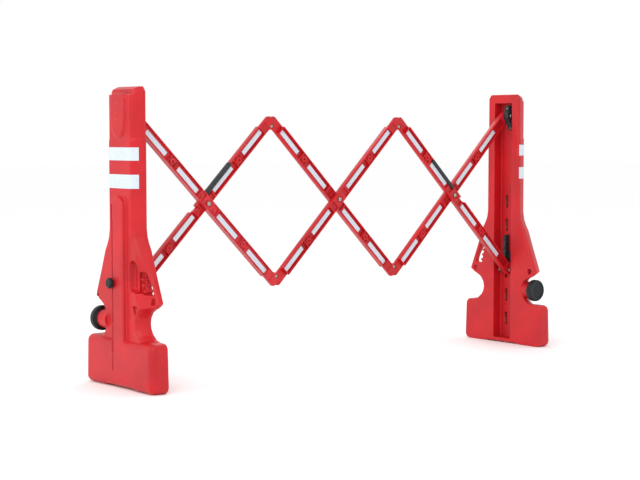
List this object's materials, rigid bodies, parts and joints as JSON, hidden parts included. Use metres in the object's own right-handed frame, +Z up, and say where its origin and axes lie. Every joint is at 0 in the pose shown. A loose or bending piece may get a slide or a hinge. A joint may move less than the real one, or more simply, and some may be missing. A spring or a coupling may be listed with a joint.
{
  "type": "expanding lattice barrier",
  "caption": "Expanding safety barrier: red lattice of crossing arms with white reflective strips between upright fillable posts; folds flat.",
  "frame": {"origin": "on the floor, midway between the posts", "axes": "+X along the barrier towards the right-hand post, +Y to the back, +Z up"},
  "size_m": [1.9144, 0.418, 1],
  "materials": {
    "red_plastic": "blow-moulded red polyethylene, satin",
    "red_arm": "injection-moulded red plastic, satin",
    "black_plastic": "moulded black plastic",
    "zinc_steel": "zinc plated",
    "black_rubber": "soft rubber",
    "white_tape": "white reflective tape"
  },
  "bodies": {
    "left_stand": {"post_left": "red_plastic", "cap_gasket_left": "black_rubber", "tape_band_left_1": "white_tape", "tape_band_left_2": "white_tape", "top_bracket_left": "black_plastic", "screw_left_1": "zinc_steel", "screw_left_2": "zinc_steel", "bolt_t0": "zinc_steel", "nut_t0": "zinc_steel"},
    "arm_a": {"arm_front_1": "red_arm", "bolt_c1": "zinc_steel", "nut_c1": "zinc_steel", "spacer_c1": "black_plastic", "bolt_b1": "zinc_steel", "nut_b1": "zinc_steel"},
    "arm_b": {"arm_back_1": "red_arm", "grip_sleeve_left": "black_rubber", "bolt_t1": "zinc_steel", "nut_t1": "zinc_steel"},
    "slide_l": {"slider_left": "black_plastic", "knob_washer_left": "zinc_steel", "bolt_b0": "zinc_steel", "nut_b0": "zinc_steel"},
    "arm_c": {"arm_back_2": "red_arm", "bolt_c2": "zinc_steel", "nut_c2": "zinc_steel", "spacer_c2": "black_plastic", "bolt_b2": "zinc_steel", "nut_b2": "zinc_steel"},
    "arm_d": {"arm_front_2": "red_arm", "bolt_t2": "zinc_steel", "nut_t2": "zinc_steel"},
    "arm_e": {"arm_front_3": "red_arm", "grip_sleeve_right": "black_rubber", "bolt_c3": "zinc_steel", "nut_c3": "zinc_steel", "spacer_c3": "black_plastic"},
    "arm_f": {"arm_back_3": "red_arm"},
    "slide_r": {"slider_right": "black_plastic", "knob_washer_right": "zinc_steel", "bolt_b3": "zinc_steel", "nut_b3": "zinc_steel"},
    "right_stand": {"post_right": "red_plastic", "cap_gasket_right": "black_rubber", "tape_band_right_1": "white_tape", "tape_band_right_2": "white_tape", "top_bracket_right": "black_plastic", "screw_right_1": "zinc_steel", "screw_right_2": "zinc_steel", "bolt_t3": "zinc_steel", "nut_t3": "zinc_steel"},
    "knob_l": {"lock_knob_left": "black_plastic"},
    "knob_r": {"lock_knob_right": "black_plastic"},
    "cap_l": {"filler_cap_left": "black_plastic"},
    "cap_r": {"filler_cap_right": "black_plastic"}
  },
  "joints": [
    {"name": "fold", "type": "hinge", "parent": "left_stand", "child": "arm_a", "pos_m": [-0.89141, 0, 0.91508], "axis": [0, 1, 0], "range_deg": [-12, 42]},
    {"name": "cross_1", "type": "hinge", "parent": "arm_a", "child": "arm_b", "pos_m": [-0.58349, 0, 0.605], "axis": [0, 1, 0], "range_deg": [-84.5, 24.5]},
    {"name": "lower_left_end", "type": "hinge", "parent": "arm_b", "child": "slide_l", "pos_m": [-0.89141, 0, 0.29492], "axis": [0, 1, 0], "range_deg": [-12.5, 42.5]},
    {"name": "top_joint_1", "type": "hinge", "parent": "arm_b", "child": "arm_c", "pos_m": [-0.29174, 0, 0.87111], "axis": [0, 1, 0], "range_deg": [-24.5, 84.5]},
    {"name": "low_joint_1", "type": "hinge", "parent": "arm_a", "child": "arm_d", "pos_m": [-0.29174, 0, 0.33889], "axis": [0, 1, 0], "range_deg": [-84.5, 24.5]},
    {"name": "low_joint_2", "type": "hinge", "parent": "arm_c", "child": "arm_f", "pos_m": [0.29174, 0, 0.33889], "axis": [0, 1, 0], "range_deg": [-84.5, 24.5]},
    {"name": "top_joint_2", "type": "hinge", "parent": "arm_d", "child": "arm_e", "pos_m": [0.29174, 0, 0.87111], "axis": [0, 1, 0], "range_deg": [-24.5, 84.5]},
    {"name": "upper_right_end", "type": "hinge", "parent": "arm_f", "child": "right_stand", "pos_m": [0.89141, 0, 0.91508], "axis": [0, 1, 0], "range_deg": [-12.5, 42.5]},
    {"name": "lower_right_end", "type": "hinge", "parent": "arm_e", "child": "slide_r", "pos_m": [0.89141, 0, 0.29492], "axis": [0, 1, 0], "range_deg": [-42.5, 12.5]},
    {"name": "knob_left_turn", "type": "hinge", "parent": "slide_l", "child": "knob_l", "pos_m": [-0.9417, 0.03, 0.34992], "axis": [1, 0, 0], "range_deg": [-360, 360]},
    {"name": "knob_right_turn", "type": "hinge", "parent": "slide_r", "child": "knob_r", "pos_m": [0.9417, -0.03, 0.34992], "axis": [1, 0, 0], "range_deg": [-360, 360]},
    {"name": "cap_left_turn", "type": "hinge", "parent": "left_stand", "child": "cap_l", "pos_m": [-0.9055, 0.1405, 0.2205], "axis": [0, 1, 0], "range_deg": [0, 360]},
    {"name": "cap_right_turn", "type": "hinge", "parent": "right_stand", "child": "cap_r", "pos_m": [0.9055, -0.1405, 0.2205], "axis": [0, -1, 0], "range_deg": [0, 360]}
  ],
  "couplings": [
    {"joint": "cross_1", "follows": "fold", "ratio": -2},
    {"joint": "lower_left_end", "follows": "fold", "ratio": 1},
    {"joint": "top_joint_1", "follows": "fold", "ratio": 2},
    {"joint": "low_joint_1", "follows": "fold", "ratio": -2},
    {"joint": "low_joint_2", "follows": "fold", "ratio": -2},
    {"joint": "top_joint_2", "follows": "fold", "ratio": 2},
    {"joint": "upper_right_end", "follows": "fold", "ratio": 1},
    {"joint": "lower_right_end", "follows": "fold", "ratio": -1}
  ]
}
